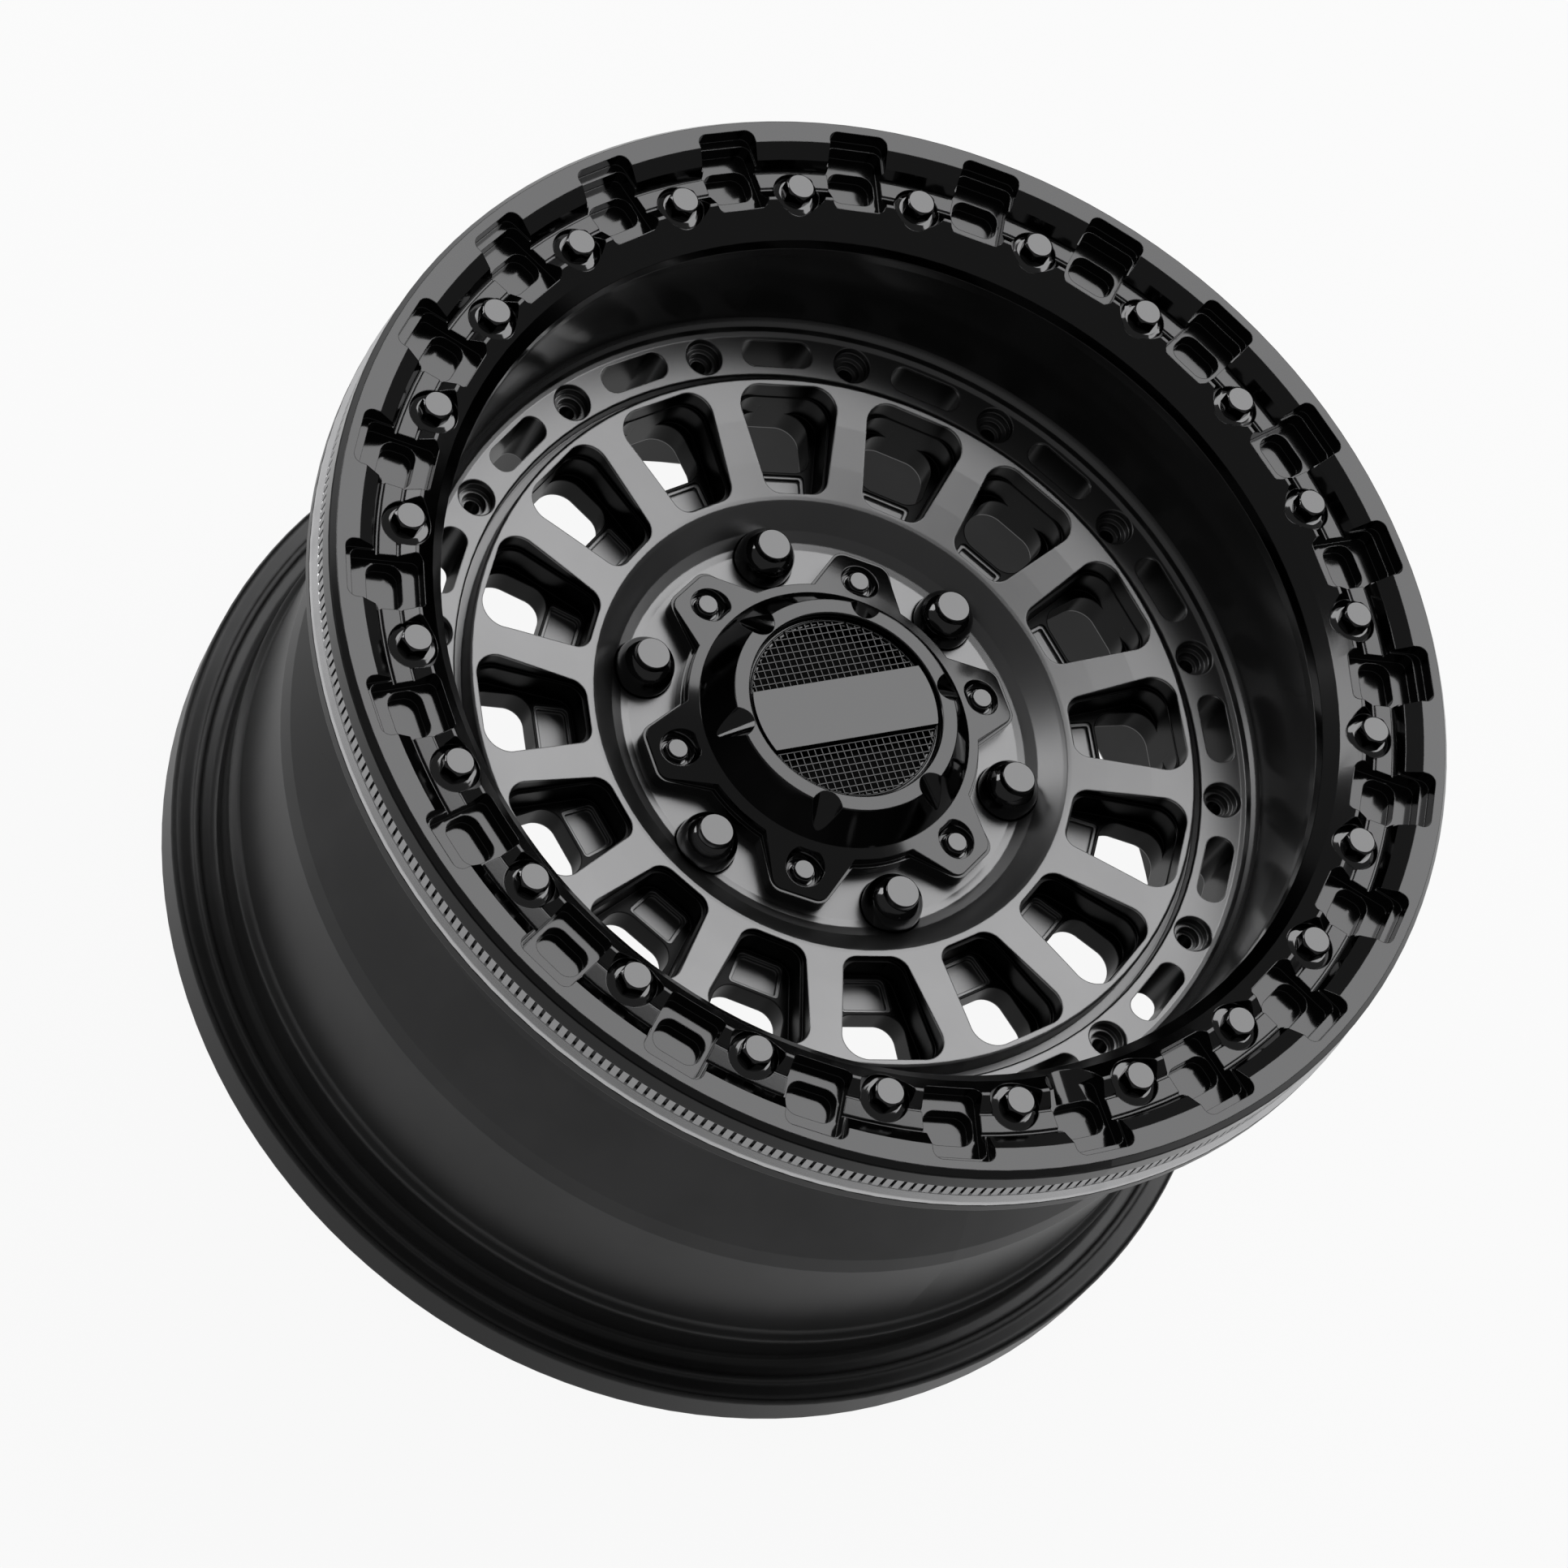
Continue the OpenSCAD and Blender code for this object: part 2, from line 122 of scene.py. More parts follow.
class Finish(Graph):
    """A surface finish: one principled shader fed by procedural patterns."""

    SOCKETS = {"colour": "Base Color", "rough": "Roughness", "metal": "Metallic", "specular": "Specular IOR Level"}

    def __init__(self, name):
        self.material = bpy.data.materials.new(name)
        self.material.use_nodes = True
        super().__init__(self.material.node_tree)
        self.shader = self.tree.nodes["Principled BSDF"]
        self.place = self.add("ShaderNodeTexCoord", output="Object")
        self.x = self.add("ShaderNodeSeparateXYZ", None, {0: self.place})
        self.y, self.z = (Wire(self, self.last.outputs[i]) for i in (1, 2))

    def radius(self):
        """Distance from the wheel's axis."""
        return (self.x * self.x + self.y * self.y).root()

    def noise(self, scale, detail=2.0, rough=0.5, stretch=None):
        """Noise on the object's own coordinates; stretch makes it into fine lines."""
        place = self.place
        if stretch:
            place = self.add("ShaderNodeVectorMath", {"operation": "MULTIPLY"}, {0: place, 1: stretch})
        return self.add("ShaderNodeTexNoise", None,
                        {"Vector": place, "Scale": scale, "Detail": detail, "Roughness": rough})

    def mix(self, share, first, second):
        """Colour that goes from first to second with share."""
        return self.add("ShaderNodeMix", {"data_type": "RGBA"}, {0: share, 6: first, 7: second}, output=2)

    def set(self, **values):
        """Feeds the shader's own sockets."""
        for key, value in values.items():
            self.feed(self.shader.inputs[self.SOCKETS[key]], value)
        return self

    def edges(self, radius):
        """1 along edges and 0 on open faces; keeps the rounded normal for bump()."""
        self.rounded = self.add("ShaderNodeBevel", {"samples": 6}, {"Radius": radius})
        normal = self.add("ShaderNodeNewGeometry", output="Normal")
        turn = self.add("ShaderNodeVectorMath", {"operation": "DOT_PRODUCT"}, {0: self.rounded, 1: normal},
                        output="Value")
        return (1.0 - turn).step(0.01, 0.25)

    def bump(self, height, strength, distance):
        """Fine relief on top of the rounded edges."""
        lifted = self.add("ShaderNodeBump", None, {"Strength": strength, "Distance": distance, "Height": height,
                                                   "Normal": getattr(self, "rounded", None)})
        self.feed(self.shader.inputs["Normal"], lifted)
        return self


def grey(value):
    """Neutral colour with a hint of blue."""
    return (value, value, value * 1.01)


def black_gloss(name, tone, rough, edge=0.6, grain=900.0, outer=None, well=None):
    """Dark metallic gloss coat: dark tone, faint orange peel, thin dust and paler edges.

    edge is the radius of the paler edges in mm; outer is the radius beyond which the coat is painted darker as shade;
    well is the radius and height of a well floor that is made dull and painted black as shade.
    """
    f = Finish(name)
    edges = f.edges(edge * MM)
    cloud = f.noise(38.0, 4.0, 0.6)
    dust = f.noise(7.0, 3.0, 0.55).step(0.45, 0.75)
    base = f.mix((edges * 0.3 + dust * 0.05).clamped(), grey(tone), grey(tone * 1.6 + 0.01))
    # painted shade: past the outer radius the coat is painted at 30% of its tone
    if outer:
        base = f.mix(f.radius().step(outer, outer + 0.2 * MM), base, grey(tone * 0.3))
    rough = rough + cloud * 0.025 + dust * 0.015 + edges * 0.05
    if well:
        # painted shade: the well floor is painted near black, and its added roughness makes it dull
        well_shade = (1.0 - f.radius().step(well[0] - 0.2 * MM, well[0])) * (1.0 - f.z.step(well[1] - 0.4 * MM, well[1]))
        base, rough = f.mix(well_shade, base, grey(0.004)), rough + well_shade * 0.3
    f.set(colour=base, metal=1.0, rough=rough.clamped())
    f.bump(f.noise(grain, 2.0, 0.5), 0.03, 0.05 * MM)
    return f.material


# ---------------------------------------------------------------- mesh helpers
def mesh_object(name, mesh):
    """Puts a mesh into the scene as an object at the origin."""
    thing = bpy.data.objects.new(name, mesh)
    bpy.context.scene.collection.objects.link(thing)
    return thing


def turned_mesh(name, profile, sides=72, flats=None, soften=0.3 * MM):
    """Solid of revolution from (radius, height) pairs; flats = {index: across flats} cuts a hexagon there."""
    flats = flats or {}
    bm = bmesh.new()
    rings = []
    for i, (radius, height) in enumerate(profile):
        ring = []
        for k in range(sides):
            a = 2 * math.pi * k / sides
            r = radius
            if i in flats:
                across = flats[i] / 2
                turn = (a + math.pi / 6) % (math.pi / 3) - math.pi / 6
                r = min(radius, across / math.cos(turn), across / math.cos(math.pi / 6) - soften)
            ring.append(bm.verts.new((r * math.cos(a), r * math.sin(a), height)))
        rings.append(ring)
    for low, high in zip(rings, rings[1:]):
        for k in range(sides):
            bm.faces.new((low[k], low[(k + 1) % sides], high[(k + 1) % sides], high[k]))
    bm.faces.new(rings[-1])
    bm.faces.new(list(reversed(rings[0])))
    bmesh.ops.recalc_face_normals(bm, faces=bm.faces)
    mesh = bpy.data.meshes.new(name)
    bm.to_mesh(mesh)
    bm.free()
    mesh.shade_smooth()
    mesh.set_sharp_from_angle(angle=math.radians(38))
    return mesh


def bar_mesh(name, width, height, chamfer):
    """Bar of unit length along Y, its top edges chamfered, with its top at height 0."""
    w = width / 2
    outline = [(-w, -height), (w, -height), (w, -chamfer), (w - chamfer, 0), (-w + chamfer, 0), (-w, -chamfer)]
    bm = bmesh.new()
    ends = [[bm.verts.new((x, y, z)) for x, z in outline] for y in (-0.5, 0.5)]
    for i in range(6):
        k = (i + 1) % 6
        bm.faces.new((ends[0][i], ends[0][k], ends[1][k], ends[1][i]))
    bm.faces.new(ends[0])
    bm.faces.new(ends[1])
    bmesh.ops.recalc_face_normals(bm, faces=bm.faces)
    mesh = bpy.data.meshes.new(name)
    bm.to_mesh(mesh)
    bm.free()
    return mesh


def open_tree(name, inputs):
    """New Geometry Nodes tree with named inputs; returns its graph and the wires of the inputs."""
    tree = bpy.data.node_groups.new(name, "GeometryNodeTree")
    g = Graph(tree)
    tree.interface.new_socket("Geometry", in_out="OUTPUT", socket_type="NodeSocketGeometry")
    for label, kind, value in inputs:
        socket = tree.interface.new_socket(label, in_out="INPUT", socket_type="NodeSocket" + kind)
        if value is not None:
            socket.default_value = value
    g.add("NodeGroupInput")
    return g, {out.name: Wire(g, out) for out in g.last.outputs if out.name}


def close_tree(g, geometry, material):
    """Realizes the instances, sets the material and ends the tree."""
    real = g.add("GeometryNodeRealizeInstances", None, {0: geometry})
    painted = g.add("GeometryNodeSetMaterial", None, {"Geometry": real, "Material": material})
    g.add("NodeGroupOutput", None, {0: painted})
    return g.tree


def ring_tree(name, tool):
    """Geometry Nodes tree that sets copies of one piece round a circle."""
    g, given = open_tree(name, (("Count", "Int", 6), ("Circle Radius", "Float", 0.1), ("First Angle", "Float", 0.0),
                                ("Own Turn", "Float", 0.0), ("Material", "Material", None)))
    points = g.add("GeometryNodeMeshLine", None, {"Count": given["Count"], "Offset": (0.0, 0.0, 0.0)})
    angle = g.add("GeometryNodeInputIndex") / given["Count"] * (2 * math.pi) + given["First Angle"]
    reach = given["Circle Radius"]
    spot = g.add("ShaderNodeCombineXYZ", None, {0: (angle + math.pi / 2).sine() * reach, 1: angle.sine() * reach})
    points = g.add("GeometryNodeSetPosition", None, {"Geometry": points, "Position": spot})
    euler = g.add("ShaderNodeCombineXYZ", None, {2: angle + given["Own Turn"]})
    rotation = g.add("FunctionNodeEulerToRotation", None, {0: euler})
    body = g.add("GeometryNodeObjectInfo", None, {"Object": tool}, output="Geometry")
    copies = g.add("GeometryNodeInstanceOnPoints", None, {"Points": points, "Instance": body, "Rotation": rotation})
    return close_tree(g, copies, given["Material"])


def grid_tree(name, bar):
    """Geometry Nodes tree of a round mesh: two crossing rows of bars cut to the chord, inside a rim."""
    g, given = open_tree(name, (("Pitch", "Float", 2.706 * MM), ("Mesh Radius", "Float", GRILLE_RADIUS),
                                ("Rim Width", "Float", 0.8 * MM), ("Rows", "Int", 25), ("First Shift", "Float", 0.0),
                                ("Second Shift", "Float", 0.0), ("Height", "Float", GRILLE_TOP),
                                ("Material", "Material", None)))
    rows, pitch, radius = given["Rows"], given["Pitch"], given["Mesh Radius"] - given["Rim Width"] * 0.5
    body = g.add("GeometryNodeObjectInfo", None, {"Object": bar}, output="Geometry")
    families = []
    for shift, turn, sink in ((given["First Shift"], 0.0, 0.0), (given["Second Shift"], math.pi / 2, -0.06 * MM)):
        points = g.add("GeometryNodeMeshLine", None, {"Count": rows, "Offset": (0.0, 0.0, 0.0)})
        x = (g.add("GeometryNodeInputIndex") - (rows - 1.0) * 0.5) * pitch + shift
        spot = g.add("ShaderNodeCombineXYZ", None, {0: x, 2: given["Height"]})
        points = g.add("GeometryNodeSetPosition", None, {"Geometry": points, "Position": spot})
        chord = (radius * radius - x * x).maximum(0.0).root() * 2.0
        size = g.add("ShaderNodeCombineXYZ", None, {0: 1.0, 1: chord, 2: 1.0})
        bars = g.add("GeometryNodeInstanceOnPoints", None, {"Points": points, "Instance": body, "Scale": size})
        families.append(g.add("GeometryNodeTransform", None, {"Geometry": bars, "Rotation": (0.0, 0.0, turn),
                                                              "Translation": (0.0, 0.0, sink)}))
    path = g.add("GeometryNodeCurvePrimitiveCircle", None, {"Radius": radius, "Resolution": 96})
    section = g.add("GeometryNodeCurvePrimitiveQuadrilateral", None,
                    {"Width": given["Rim Width"], "Height": 0.8 * MM})
    rim = g.add("GeometryNodeCurveToMesh", None, {"Curve": path, "Profile Curve": section})
    lift = g.add("ShaderNodeCombineXYZ", None, {2: given["Height"] - 0.4 * MM})
    rim = g.add("GeometryNodeTransform", None, {"Geometry": rim, "Translation": lift})
    g.add("GeometryNodeJoinGeometry")
    joined = g.last
    for part in (rim, *families):
        g.tree.links.new(part.socket, joined.inputs[0])
    return close_tree(g, Wire(g, joined.outputs[0]), given["Material"])


def apply_tree(name, tree, **values):
    """Runs a tree on an empty mesh and keeps the result as a plain mesh object."""
    holder = mesh_object(name + "_source", bpy.data.meshes.new(name + "_source"))
    modifier = holder.modifiers.new("build", "NODES")
    modifier.node_group = tree
    for item in tree.interface.items_tree:
        if item.item_type == "SOCKET" and item.in_out == "INPUT":
            key = item.name.lower().replace(" ", "_")
            if key in values:
                modifier[item.identifier] = values[key]
    evaluated = holder.evaluated_get(bpy.context.evaluated_depsgraph_get())
    mesh = bpy.data.meshes.new_from_object(evaluated)
    mesh.name = name
    holder.modifiers.remove(modifier)
    bpy.data.objects.remove(holder)
    thing = mesh_object(name, mesh)
    if not mesh.materials and "material" in values:
        mesh.materials.append(values["material"])
    return thing


def ring_of(name, mesh, material, count, radius, first, own_turn=0.0):
    """Sets copies of one piece round a circle, as one plain mesh object."""
    tool = mesh_object(name + "_tool", mesh)
    thing = apply_tree(name, ring_tree(name + "_round", tool), count=count, circle_radius=radius, first_angle=first,
                       own_turn=own_turn, material=material)
    bpy.data.objects.remove(tool)
    return thing


def stand_for(piece, node):
    """The piece takes the place of a CAD node and rides on the wheel."""
    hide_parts(node)
    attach(piece, "root")
    return {"FINISHED"}


def dress(node, material):
    """Gives a carried-over CAD node its finish."""
    thing = NODES[node]
    if not thing.material_slots:
        thing.data.materials.append(material)
    for slot in thing.material_slots:
        slot.material = material
    return thing


# ---------------------------------------------------------------- finishes
# Where each zone of the casting begins and is complete, in mm: radii, heights and depths below the face.
CASTING_BANDS = {
    "barrel": (159.0, 160.6),
    "lip": (162.5, 163.5),
    "rear_bead": (185.5, 186.5),
    "rear_bead_top": (42.0, 44.0),
    "flange": (205.0, 205.6),
    "flange_top": (28.0, 30.0),
    "front_bead": (185.0, 186.0),
    "front_bead_foot": (176.0, 178.0),
    "window_depth": (0.5, 1.1),
    "window_inner": (90.6, 91.2),
    "window_outer": (136.2, 136.6),
    "recess_floor": (138.3, 138.8),
    "recess_outer": (107.2, 107.7),
    "pocket_depth": (0.6, 1.2),
    "pocket_inner": (140.8, 141.4),
    "disc_back": (128.6, 129.2),
}
# The two cones of the spoke face: radius and height where each starts, and its slope.
SPOKE_FACE = (90.3 * MM, 152.1 * MM, 0.1472)
RIM_FACE = (141.0 * MM, 154.05 * MM, 0.1047)


def band(wire, name):
    """0 before a named band of the casting and 1 past it."""
    low, high = CASTING_BANDS[name]
    return wire.step(low * MM, high * MM)


def depth_below(face, r, z):
    """Depth below a coned face of the disc."""
    radius, height, slope = face
    return (r - radius) * slope + height - z


def casting_finish(choice):
    """Satin anthracite coat on the disc, satin black on the barrel; painted shade in windows, rim pockets, rear
    flange and front bead.
    """
    f = Finish("cast_satin_coat")
    r, z = f.radius(), f.z
    barrel = band(r, "barrel")
    rear = band(r, "rear_bead") * (1.0 - band(z, "rear_bead_top"))
    edges = f.edges(0.7 * MM + rear * (1.3 * MM))
    fine = f.noise(1500.0, 2.0, 0.6)
    cloud = f.noise(22.0, 3.0, 0.55)
    turned = f.noise(1.0, 2.0, 0.5, stretch=(3.0, 3.0, 900.0))
    # painted shade: the windows and rim pockets below the spoke face are painted dark, at 8% of the disc tone; the
    # small recesses stay pale
    window = band(depth_below(SPOKE_FACE, r, z), "window_depth") * band(r, "window_inner")
    window = window * (1.0 - band(r, "window_outer"))
    recess = (1.0 - band(z, "recess_floor")) * (1.0 - band(r, "recess_outer"))
    between = (f.y.angle(f.x) * SPOKE_COUNT + math.pi / 2).sine()
    pocket = band(depth_below(RIM_FACE, r, z), "pocket_depth") * band(r, "pocket_inner")
    pocket = pocket * (1.0 - between.step(-0.2, 0.0))
    painted_shade = (window * (1.0 - recess) + pocket).clamped() * band(z, "disc_back")
    patch = cloud.step(0.35, 0.7)
    disc = f.mix(patch, grey(choice.disc_tone), grey(choice.disc_tone * 1.08))
    disc = f.mix(painted_shade, disc, grey(choice.disc_tone * 0.08))
    body = f.mix(patch, grey(choice.barrel_tone), grey(choice.barrel_tone * 1.2))
    # painted shade: the rear flange foot is painted at 30% of the barrel tone, the front bead part way towards it
    foot = band(r, "flange") * (1.0 - band(z, "flange_top"))
    front = band(r, "front_bead") * band(z, "front_bead_foot")
    body = f.mix((foot + front * 0.6).clamped(), body, grey(choice.barrel_tone * 0.3))
    # the paler edges are weakened inside the painted shade
    base = f.mix((edges * (1.0 - painted_shade * 0.7) * 0.25).clamped(), f.mix(barrel, disc, body), grey(0.35))
    inside = barrel * (1.0 - band(r, "lip"))
    f.set(colour=base, metal=1.0 - barrel * 0.5, specular=0.25,
          rough=(0.27 - barrel * 0.02 - inside * 0.10 + fine * 0.05 + cloud * 0.03).clamped())
    f.bump(fine * (1.0 - barrel * 0.6) + turned * barrel * 0.3, 0.08, 0.06 * MM)
    return f.material


def bright_finish():
    """Machined bright alloy with fine turning lines, a little random soil, and painted shade on the toothed band,
    darkest in its slots.
    """
    f = Finish("machined_bright")
    edges = f.edges(0.3 * MM)
    lines = f.noise(1.0, 3.0, 0.6, stretch=(8.0, 8.0, 5000.0))
    soil = f.noise(60.0, 3.0, 0.6).step(0.5, 0.8)
    # painted shade: the toothed band is painted darker than the rest of the ring, and its slots near black
    toothed = f.z.step(209.3 * MM, 209.8 * MM)
    tooth_shade = f.mix(f.radius().step(203.35 * MM, 203.8 * MM), grey(0.03), grey(0.40))
    base = f.mix(toothed, f.mix((soil * 0.2).clamped(), grey(0.66), grey(0.5)), tooth_shade)
    f.set(colour=f.mix((edges * (1.0 - toothed * 0.6) * 0.3).clamped(), base, grey(0.95)), metal=1.0,
          rough=(0.22 + lines * 0.12 + soil * 0.1).clamped())
    f.bump(lines, 0.08, 0.05 * MM)
    return f.material


# ---------------------------------------------------------------- settings
class WheelSizes(bpy.types.PropertyGroup):
    """Tones and sizes that a user would change"""
    disc_tone: bpy.props.FloatProperty(name="Disc tone", description="Reflectance of the disc coat", default=0.175,
                                       min=0.0, max=1.0)
    barrel_tone: bpy.props.FloatProperty(name="Barrel tone", description="Reflectance of the barrel coat",
                                         default=0.055, min=0.0, max=1.0)
    ring_tone: bpy.props.FloatProperty(name="Ring tone", description="Reflectance of the clamp ring coat",
                                       default=0.072, min=0.0, max=1.0)
    bolt_tone: bpy.props.FloatProperty(name="Bolt tone", description="Reflectance of bolts, nuts and screws",
                                       default=0.115, min=0.0, max=1.0)
    wire_pitch: bpy.props.FloatProperty(name="Wire pitch", description="Pitch of the cap mesh", default=2.706 * MM,
                                        subtype="DISTANCE", unit="LENGTH")


def sizes():
    """The wheel's settings in the scene."""
    return bpy.context.scene.wheel_sizes


class WHEEL_OT_casting(bpy.types.Operator):
    """Coats the one-piece barrel and disc"""
    bl_idname = "wheel.casting"
    bl_label = "Casting"

    def execute(self, context):
        dress("wheel_casting", casting_finish(sizes()))
        return {"FINISHED"}


class WHEEL_OT_clamp_ring(bpy.types.Operator):
    """Coats the clamp ring and the bright grip ring behind it"""
    bl_idname = "wheel.clamp_ring"
    bl_label = "Clamp ring"

    def execute(self, context):
        # the ring's outer side band past 204.2 mm carries painted shade
        dress("beadlock_ring", black_gloss("ring_gloss_black", sizes().ring_tone, 0.10, edge=0.5, outer=204.2 * MM))
        dress("bead_grip_ring", bright_finish())
        return {"FINISHED"}


class WHEEL_OT_clamp_bolts(bpy.types.Operator):
    """Builds the clamp bolts with softened edges"""
    bl_idname = "wheel.clamp_bolts"
    bl_label = "Clamp bolts"

    def execute(self, context):
        # shank, flange with its shallow cone, hexagon, chamfer and flat top
        shape = [(3.9, 184.0), (3.95, 184.4), (3.95, 212.6), (8.4, 212.6), (8.5, 212.7), (8.53, 216.7),
                 (8.5, 216.95), (8.4, 217.12), (8.2, 217.25), (7.6, 217.48), (7.0, 217.7), (6.4, 217.92),
                 (6.1, 218.05), (6.05, 218.1), (6.05, 221.0), (6.05, 223.15), (5.5, 223.5), (5.1, 223.72),
                 (4.78, 223.9), (4.7, 223.97), (4.5, 224.0), (4.35, 224.0), (1.0, 224.0)]
        flats = {i: BOLT_FLATS for i in range(13, 18)}
        mesh = turned_mesh("clamp_bolt", [(r * MM, z * MM) for r, z in shape], 72, flats, 0.2 * MM)
        steel = black_gloss("bolt_black_steel", sizes().bolt_tone, 0.08, edge=0.15, grain=1500.0)
        ring = ring_of("clamp_bolts", mesh, steel, BOLT_COUNT, BOLT_R, math.radians(7.5), own_turn=math.radians(30))
        return stand_for(ring, "beadlock_bolts")


class WHEEL_OT_lug_nuts(bpy.types.Operator):
    """Builds the six bulged lug nuts"""
    bl_idname = "wheel.lug_nuts"
    bl_label = "Lug nuts"

    def execute(self, context):
        # coned seat, straight foot, bulge, neck and flat top
        shape = [(7.716, 132.9), (10.75, 138.2), (10.85, 138.33), (10.85, 143.9), (10.6, 146.9), (10.3, 148.4),
                 (9.9, 149.7), (9.3, 150.8), (8.6, 151.7), (7.7, 152.6), (6.9, 153.3), (6.5, 153.55), (6.35, 153.75),
                 (6.3, 154.0), (6.25, 155.4), (6.15, 155.7), (5.9, 155.88), (5.7, 155.9), (5.5, 155.9), (1.0, 155.9)]
        mesh = turned_mesh("lug_nut", [(r * MM, z * MM) for r, z in shape], 96)
        gloss = black_gloss("nut_gloss_black", sizes().bolt_tone, 0.07, edge=0.2)
        ring = ring_of("lug_nut_set", mesh, gloss, NUT_COUNT, LUG_R, 0.0)
        return stand_for(ring, "lug_nuts")


class WHEEL_OT_cap(bpy.types.Operator):
    """Coats the lobed cap, its mesh and band, and builds its screws"""
    bl_idname = "wheel.cap"
    bl_label = "Centre cap"

    def execute(self, context):
        # the cap's well floor under the mesh is painted black as shade
        dress("centre_cap", black_gloss("cap_gloss_black", sizes().ring_tone, 0.07, edge=0.5,
                                        well=(33.5 * MM, 161.2 * MM)))
        pitch = sizes().wire_pitch
        bar = mesh_object("bar", bar_mesh("bar", pitch * 0.18, 0.55 * MM, 0.06 * MM))
        grille = apply_tree("cap_grille", grid_tree("cap_grille_rows", bar), pitch=pitch, mesh_radius=GRILLE_RADIUS,
                            rim_width=0.8 * MM, rows=int(68 * MM / pitch), height=GRILLE_TOP,
                            first_shift=0.27 * MM, second_shift=-0.8 * MM,
                            material=black_gloss("mesh_black", 0.048, 0.12, edge=0.1))
        bpy.data.objects.remove(bar)
        stand_for(grille, "cap_mesh")
        dress("cap_band", black_gloss("band_satin_grey", 0.08, 0.12, edge=0.3))
        # shank, washer, hexagon and flat top
        shape = [(2.4, 126.2), (2.45, 146.4), (4.8, 146.4), (4.9, 146.5), (4.9, 146.8), (4.4, 146.95),
                 (4.9, 147.0), (4.9, 148.6), (4.5, 149.1), (4.2, 149.35), (4.0, 149.45), (3.75, 149.5),
                 (3.7, 149.7), (3.6, 150.2), (3.45, 150.38), (3.3, 150.4), (3.1, 150.4), (1.0, 150.4)]
        flats = {i: SCREW_FLATS for i in range(5, 11)}
        mesh = turned_mesh("cap_screw", [(r * MM, z * MM) for r, z in shape], 72, flats, 0.25 * MM)
        steel = black_gloss("screw_black_steel", sizes().bolt_tone, 0.10, edge=0.3, grain=1500.0)
        ring = ring_of("cap_screw_set", mesh, steel, SCREW_COUNT, SCREW_R, math.radians(30))
        return stand_for(ring, "cap_screws")


def lamp(name, azimuth, elevation, distance, width, height, radiance, target=(0, 0, 0.16)):
    """Rectangular soft box aimed at the wheel, given by its brightness."""
    data = bpy.data.lights.new(name, "AREA")
    data.shape = "RECTANGLE"
    data.size, data.size_y = width, height
    data.energy = radiance * math.pi * width * height
    a, e = math.radians(azimuth), math.radians(elevation)
    spot = Vector(target) + distance * Vector((math.cos(e) * math.cos(a), math.cos(e) * math.sin(a), math.sin(e)))
    thing = bpy.data.objects.new(name, data)
    thing.location = spot
    thing.rotation_euler = (Vector(target) - spot).to_track_quat("-Z", "Y").to_euler()
    bpy.context.scene.collection.objects.link(thing)
    return thing


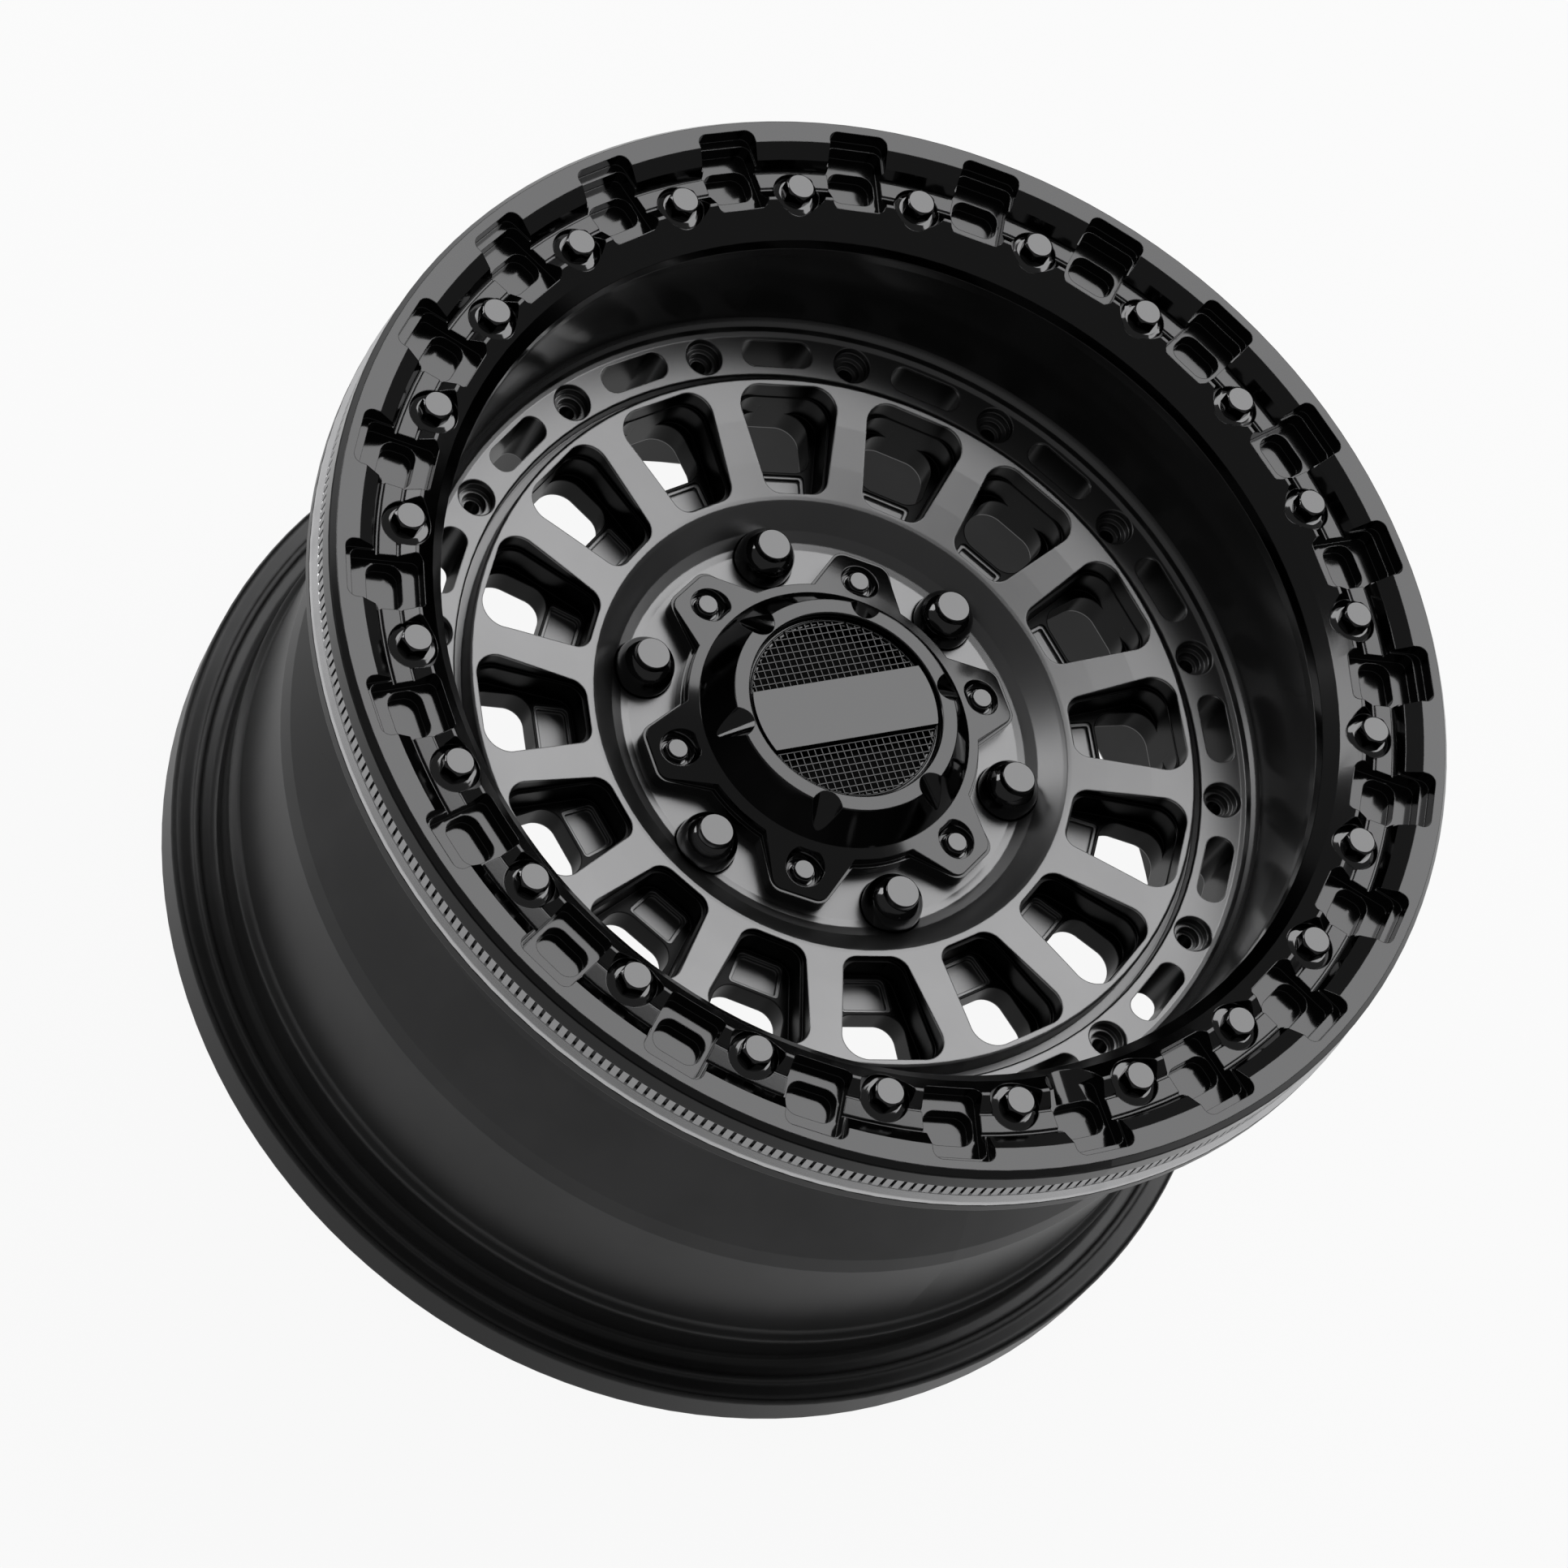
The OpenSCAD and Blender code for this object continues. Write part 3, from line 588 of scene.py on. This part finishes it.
class WHEEL_OT_stage(bpy.types.Operator):
    """Lays the pale floor and sets lamps, world and camera"""
    bl_idname = "wheel.stage"
    bl_label = "Stage"

    def execute(self, context):
        scene = bpy.context.scene
        bm = bmesh.new()
        bmesh.ops.create_circle(bm, cap_ends=True, segments=96, radius=FLOOR_RADIUS)
        mesh = bpy.data.meshes.new("floor")
        bm.to_mesh(mesh)
        bm.free()
        floor = mesh_object("floor", mesh)
        material = bpy.data.materials.new("floor_white")
        material.use_nodes = True
        g = Graph(material.node_tree)
        g.tree.nodes.clear()
        seen = g.add("ShaderNodeLightPath", output="Is Camera Ray")
        seen = seen.maximum(Wire(g, g.last.outputs["Is Glossy Ray"]) * 0.5)
        place = g.add("ShaderNodeTexCoord", output="Object")
        cloud = g.add("ShaderNodeTexNoise", None, {"Vector": place, "Scale": 0.25, "Detail": 3.0})
        paint = g.add("ShaderNodeBsdfDiffuse", None,
                      {0: g.add("ShaderNodeMix", {"data_type": "RGBA"}, {0: cloud, 6: grey(0.78), 7: grey(0.82)}, 2)})
        glow = g.add("ShaderNodeEmission", None, {"Strength": 1.0, "Color": (1.0, 1.0, 1.0)})
        face = g.add("ShaderNodeMixShader", None, {0: seen * FLOOR_GLOW, 1: paint, 2: glow})
        g.add("ShaderNodeOutputMaterial", None, {0: face})
        mesh.materials.append(material)

        world = bpy.data.worlds.new("studio") if scene.world is None else scene.world
        scene.world = world
        world.use_nodes = True
        g = Graph(world.node_tree)
        g.tree.nodes.clear()
        seen = g.add("ShaderNodeLightPath", output="Is Camera Ray")
        sky = g.add("ShaderNodeBackground", None,
                    {"Color": (1.0, 1.0, 1.0), "Strength": seen * BACKDROP_GLOW + SKY_STRENGTH})
        g.add("ShaderNodeOutputWorld", None, {0: sky})

        lamp("far_panel", azimuth=127.7, elevation=48, distance=2.6, width=3.2, height=1.7, radiance=2.35)
        lamp("left_panel", azimuth=217, elevation=30, distance=2.6, width=1.0, height=0.8, radiance=3.0)

        data = bpy.data.cameras.new("camera")
        data.lens = LENS_MM
        data.sensor_width = 36.0
        data.clip_start, data.clip_end = 0.05, 30.0
        camera = bpy.data.objects.new("camera", data)
        camera.location = CAMERA_PLACE
        camera.rotation_euler = [math.radians(v) for v in CAMERA_TURN]
        scene.collection.objects.link(camera)
        scene.camera = camera
        scene.view_settings.view_transform = "Standard"
        return {"FINISHED"}


class WHEEL_PT_panel(bpy.types.Panel):
    """Lists the wheel's settings and building steps"""
    bl_idname = "WHEEL_PT_panel"
    bl_label = "Bead-lock wheel"
    bl_space_type = "VIEW_3D"
    bl_region_type = "UI"
    bl_category = "Wheel"

    def draw(self, context):
        for name in ("disc_tone", "barrel_tone", "ring_tone", "bolt_tone", "wire_pitch"):
            self.layout.prop(context.scene.wheel_sizes, name)
        for step in STEPS:
            self.layout.operator(step.bl_idname)


STEPS = (WHEEL_OT_stage, WHEEL_OT_casting, WHEEL_OT_clamp_ring, WHEEL_OT_clamp_bolts, WHEEL_OT_lug_nuts,
         WHEEL_OT_cap)


def register():
    for item in (WheelSizes, *STEPS, WHEEL_PT_panel):
        bpy.utils.register_class(item)
    bpy.types.Scene.wheel_sizes = bpy.props.PointerProperty(type=WheelSizes)


def unregister():
    del bpy.types.Scene.wheel_sizes
    for item in reversed((WheelSizes, *STEPS, WHEEL_PT_panel)):
        bpy.utils.unregister_class(item)


def main():
    register()
    for step in STEPS:
        group, name = step.bl_idname.split(".")
        getattr(getattr(bpy.ops, group), name)()


if __name__ == "__main__":
    main()
